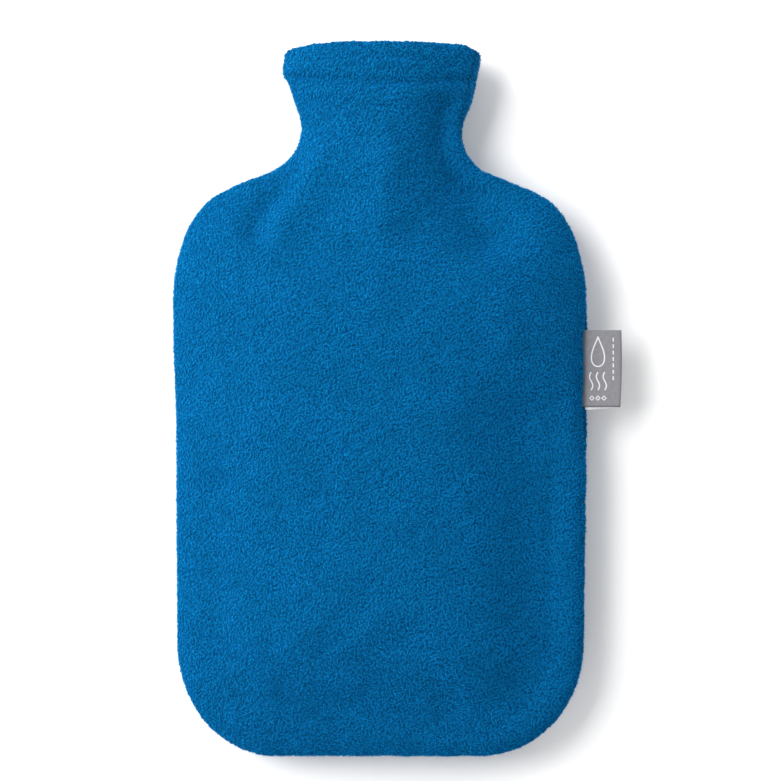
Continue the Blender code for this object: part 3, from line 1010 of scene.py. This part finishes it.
class CoverSizes(PropertyGroup):
    """Sizes of the cover. The three overall ones start at the frame's own."""

    width: FloatProperty(
        name="Width",
        description="Across the body, from seam to seam",
        default=FRONT_BOX[1].x - FRONT_BOX[0].x,
        unit="LENGTH",
    )
    length: FloatProperty(
        name="Length",
        description="From the bottom seam to the top of the mouth",
        default=BACK_BOX[1].y - BACK_BOX[0].y,
        unit="LENGTH",
    )
    depth: FloatProperty(
        name="Depth",
        description="From the surface it lies on to the top of its belly",
        default=FRONT_BOX[1].z,
        unit="LENGTH",
    )
    cloth: FloatProperty(
        name="Cloth",
        description="Thickness of the fleece without its pile",
        default=2.0 * MM,
        unit="LENGTH",
    )
    seam_tuck: FloatProperty(
        name="Seam tuck",
        description="How far the seams draw the cloth in",
        default=0.8 * MM,
        unit="LENGTH",
    )
    unevenness: FloatProperty(
        name="Unevenness",
        description="Height of the cloth's soft waves",
        default=0.13 * MM,
        unit="LENGTH",
    )


class PileSizes(PropertyGroup):
    """Sizes of the pile's curls."""

    length: FloatProperty(
        name="Curl length",
        description="From head to tail",
        default=1.5 * MM,
        unit="LENGTH",
    )
    width: FloatProperty(
        name="Curl width",
        description="Across its middle",
        default=0.9 * MM,
        unit="LENGTH",
    )
    height: FloatProperty(
        name="Curl height",
        description="How far it stands out of the cloth",
        default=0.65 * MM,
        unit="LENGTH",
    )
    fibre_length: FloatProperty(
        name="Fibre length",
        description="Of the fine fibres along the cover's edges",
        default=1.3 * MM,
        unit="LENGTH",
    )
    fibre_width: FloatProperty(
        name="Fibre width",
        description="Across a fibre's root",
        default=0.17 * MM,
        unit="LENGTH",
    )
    seed: IntProperty(
        name="Seed",
        description="Another number spreads the curls another way",
        default=5,
    )


class LabelSizes(PropertyGroup):
    """Sizes of the ribbon label."""

    cloth: FloatProperty(
        name="Ribbon",
        description="Thickness of the ribbon",
        default=0.45 * MM,
        unit="LENGTH",
    )


class CoverColours(PropertyGroup):
    """Colours of the cover and its floor."""

    fleece: FloatVectorProperty(
        name="Fleece",
        description="The fleece's blue",
        default=(0.0022, 0.106, 0.306),
        subtype="COLOR",
    )
    sheen: FloatVectorProperty(
        name="Fleece sheen",
        description="The light that catches in the pile at the cover's edges",
        default=(0.006, 0.48, 0.85),
        subtype="COLOR",
    )
    # Painted light: the fibres' colour is paler than the fleece's, for the light that shines through the
    # fuzz along the edges.
    fibre: FloatVectorProperty(
        name="Single fibres",
        description="The paler fibres that stand out along the cover's edges",
        default=(0.06, 0.28, 0.52),
        subtype="COLOR",
    )
    ribbon: FloatVectorProperty(
        name="Ribbon",
        description="The ribbon's face",
        default=(0.195, 0.195, 0.212),
        subtype="COLOR",
    )
    ribbon_reverse: FloatVectorProperty(
        name="Ribbon reverse",
        description="The ribbon's paler inner side",
        default=(0.85, 0.85, 0.88),
        subtype="COLOR",
    )
    mark: FloatVectorProperty(
        name="Woven marks",
        description="The thread of the label's marks",
        default=(0.72, 0.72, 0.75),
        subtype="COLOR",
    )
    floor: FloatVectorProperty(
        name="Floor",
        description="The pale floor",
        default=(0.93, 0.93, 0.93),
        subtype="COLOR",
    )


# ----------------------------------------------------------------------------------------- operators

SHEET_NAMES = {"front_panel": "front_fleece", "back_panel": "back_fleece"}
HEM_DEPTH = (SECTIONS[0].up - SECTIONS[1].up) * MM


def grids_of(context, panel):
    sizes = context.scene.cover_sizes
    overall = (sizes.width, sizes.length, sizes.depth)
    return panel_grids(panel, overall, sizes.cloth, sizes.seam_tuck, sizes.unevenness)


def cut_size(outer, hem):
    """A panel's cut size: its greatest width and its length over the cloth, with the turned-in hem,
    and the area of that cut."""
    across = np.linalg.norm(np.diff(outer, axis=1), axis=2).sum(axis=1)
    middle = outer[:, outer.shape[1] // 2]
    along = np.linalg.norm(np.diff(middle, axis=0), axis=1).sum()
    return (across.max(), along + hem), cell_areas(outer).sum() + hem * across[0]


class COVER_OT_panels(Operator):
    """Make the front and the back fleece panel"""

    bl_idname = "cover.panels"
    bl_label = "Fleece panels"

    def execute(self, context):
        cloth = fleece_cloth("fleece_cloth", context.scene.cover_colours)
        for panel, name in SHEET_NAMES.items():
            outer, inner = grids_of(context, panel)
            piece = sheet_piece(name, outer, inner, [cloth], flip=panel == "back_panel")
            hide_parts(panel)
            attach(piece, "root")
        return {"FINISHED"}


def pile_face(context, lot):
    """The face that a lot of pile stands on, and the face behind it."""
    outer, inner = grids_of(context, lot.panel)
    if lot.face == "outer":
        return outer, inner
    hem_rows = (inner[:, :, 1].mean(axis=1) > inner[:, :, 1].max() - HEM_DEPTH).sum()
    return inner[:hem_rows], outer[:hem_rows]


def dress(piece):
    """A piece of pile rides on the cover."""
    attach(piece, "root")
    return piece


class COVER_OT_pile(Operator):
    """Cover both panels with the fleece's curls and edge fibres"""

    bl_idname = "cover.pile"
    bl_label = "Pile"

    def execute(self, context):
        sizes = context.scene.pile_sizes
        lowest = BACK_BOX[0].z
        rng = np.random.default_rng(sizes.seed)
        grown = {panel: [] for panel in SHEET_NAMES}
        finish = fleece_pile("fleece_pile", context.scene.cover_colours)
        for lot in PILE_LOTS:
            face, behind = pile_face(context, lot)
            places, outward = scatter(face, behind, lot.curls, lot.underside_share, rng)
            for name, part in zip(lot.names, np.array_split(np.arange(lot.curls), len(lot.names))):
                points, faces = curls(places[part], outward[part], sizes, lowest, rng)
                piece = new_piece(name, points, faces, square_map(len(part), curl_square()), [finish])
                crown = piece.data.attributes.new(CROWN, "FLOAT", "POINT")
                crown.data.foreach_set("value", np.tile(CURL_CROWN, len(part)))
                grown[lot.panel].append(dress(piece))
        finish = fleece_fibre("fleece_fibre", context.scene.cover_colours)
        for lot in FUZZ_LOTS:
            places, outward = scatter(*grids_of(context, lot.panel), lot.spots, 0.0, rng)
            steep = np.abs(outward[:, 2]) < FUZZ_STEEP
            size = (sizes.fibre_length, sizes.fibre_width)
            points, faces = fibres(places[steep], outward[steep], *size, lowest, rng)
            piece = new_piece(lot.name, points, faces, square_map(steep.sum(), FIBRE_SQUARE), [finish])
            grown[lot.panel].append(dress(piece))
        for panel, pieces in grown.items():
            flat, area = cut_size(grids_of(context, panel)[0], HEM_DEPTH)
        return {"FINISHED"}


class COVER_OT_label(Operator):
    """Make the folded ribbon label and the marks woven into it"""

    bl_idname = "cover.label"
    bl_label = "Ribbon label"

    def execute(self, context):
        colours = context.scene.cover_colours
        low, high = LABEL_BOX
        outer, inner = label_grids(context.scene.label_sizes.cloth)
        face = ribbon_weave("ribbon_face", colours.ribbon, low.y)
        reverse = ribbon_weave("ribbon_reverse", colours.ribbon_reverse, low.y - 2 * LABEL_SLIP * MM)
        ribbon = sheet_piece("label_ribbon", outer, inner, [face, reverse])
        count = (outer.shape[0] - 1) * (outer.shape[1] - 1)
        sides = np.zeros(len(ribbon.data.polygons), np.int32)
        sides[count : 2 * count] = 1
        ribbon.data.polygons.foreach_set("material_index", sides)
        marks = self.marks(context, outer)
        for piece in (ribbon, marks):
            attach(piece, "root")
        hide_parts("side_label")
        return {"FINISHED"}

    def marks(self, context, outer):
        """The woven marks, lying on the ribbon's upper layer."""
        upper = outer[:, :LABEL_LENGTHWAYS] / MM
        across, ups, heights = upper[0, :, 0], upper[::-1, 0, 1], upper[::-1, :, 2]

        def surface(points, above):
            x = points[:, 0] + LABEL_SIDE
            y = points[:, 1] + ups[0]
            row = np.clip(np.searchsorted(ups, y) - 1, 0, len(ups) - 2)
            part = (y - ups[row]) / (ups[row + 1] - ups[row])
            lower, higher = (
                np.array([np.interp(at, across, heights[r]) for at, r in zip(x, row + i)])
                for i in (0, 1)
            )
            return np.stack((x, y, (1 - part) * lower + part * higher + above), axis=1)

        points, faces, start = [], [], 0
        for line, closed in mark_lines():
            line_points, line_faces = raised_line(line, closed, surface)
            points.append(line_points)
            faces += (line_faces + start).tolist()
            start += len(line_points)
        finish = woven_mark("woven_mark", context.scene.cover_colours.mark)
        return new_piece("label_marks", np.concatenate(points) * MM, faces, None, [finish], smooth=False)


# The camera looks straight down, from this height over the point it aims at. The lamps aim there too.
CAMERA_HEIGHT = 1.3
CAMERA_LENS = 120.0
CAMERA_SENSOR = 36.0
CAMERA_AIM = (4.75 * MM, 4.0 * MM, 19.0 * MM)

Lamp = namedtuple("Lamp", "name place size power")
LAMPS = (
    Lamp("window_left", (-0.90, 0.45, 0.70), 1.2, 33.5),
    Lamp("reflector_right", (0.75, 0.68, 0.24), 0.8, 6.5),
    Lamp("reflector_foot", (-0.25, -0.95, 0.35), 0.9, 4.5),
)
SKY_STRENGTH = 0.46
FLOOR_HALF = 4.0


class COVER_OT_stage(Operator):
    """Lay the pale floor and set up the soft lights and the camera"""

    bl_idname = "cover.stage"
    bl_label = "Stage"

    def execute(self, context):
        scene = context.scene
        corners = np.array(((-1, -1, 0), (1, -1, 0), (1, 1, 0), (-1, 1, 0))) * FLOOR_HALF
        nodes = Nodes("floor_paper")
        grain = nodes.noise(0.004, detail=3.0)
        colour = scene.cover_colours.floor
        paper = nodes.finish(
            Base_Color=nodes.mix(grain, shade(colour, 0.99), shade(colour, 1.01)),
            Roughness=0.9,
            Specular_IOR_Level=0.1,
        )
        floor = new_piece("floor", corners, [(0, 1, 2, 3)], None, [paper], smooth=False)
        floor.location.z = BACK_BOX[0].z
        for lamp in LAMPS:
            light = bpy.data.lights.new(lamp.name, "AREA")
            light.shape = "SQUARE"
            light.size = lamp.size
            light.energy = lamp.power
            holder = bpy.data.objects.new(lamp.name, light)
            holder.location = lamp.place
            aim = Vector(CAMERA_AIM) - holder.location
            holder.rotation_euler = aim.to_track_quat("-Z", "Y").to_euler()
            scene.collection.objects.link(holder)
        world = bpy.data.worlds.new("studio")
        world.use_nodes = True
        sky = world.node_tree.nodes["Background"]
        sky.inputs["Color"].default_value = (1, 1, 1, 1)
        sky.inputs["Strength"].default_value = SKY_STRENGTH
        scene.world = world
        view = bpy.data.cameras.new("overhead")
        view.sensor_width = CAMERA_SENSOR
        view.lens = CAMERA_LENS
        camera = bpy.data.objects.new("overhead", view)
        camera.location = Vector(CAMERA_AIM) + Vector((0, 0, CAMERA_HEIGHT))
        scene.collection.objects.link(camera)
        scene.camera = camera
        scene.view_settings.view_transform = "Standard"
        scene.view_settings.look = "None"
        return {"FINISHED"}


class COVER_PT_panel(Panel):
    """Lists the cover's operators and its sizes and colours"""

    bl_label = "Bottle cover"
    bl_idname = "COVER_PT_panel"
    bl_space_type = "VIEW_3D"
    bl_region_type = "UI"
    bl_category = "Bottle cover"

    def draw(self, context):
        column = self.layout.column()
        for operator in OPERATORS:
            column.operator(operator.bl_idname)
        for name in SETTINGS:
            settings = getattr(context.scene, name)
            box = self.layout.box()
            for key in settings.bl_rna.properties.keys():
                if key not in ("rna_type", "name"):
                    box.prop(settings, key)


OPERATORS = (COVER_OT_panels, COVER_OT_pile, COVER_OT_label, COVER_OT_stage)
SETTINGS = {
    "cover_sizes": CoverSizes,
    "pile_sizes": PileSizes,
    "label_sizes": LabelSizes,
    "cover_colours": CoverColours,
}
CLASSES = (*SETTINGS.values(), *OPERATORS, COVER_PT_panel)


def register():
    for made in CLASSES:
        bpy.utils.register_class(made)
    for name, group in SETTINGS.items():
        setattr(bpy.types.Scene, name, PointerProperty(type=group))


def unregister():
    for name in SETTINGS:
        delattr(bpy.types.Scene, name)
    for made in reversed(CLASSES):
        bpy.utils.unregister_class(made)


def main():
    register()
    bpy.ops.cover.panels()
    bpy.ops.cover.pile()
    bpy.ops.cover.label()
    bpy.ops.cover.stage()


if __name__ == "__main__":
    main()
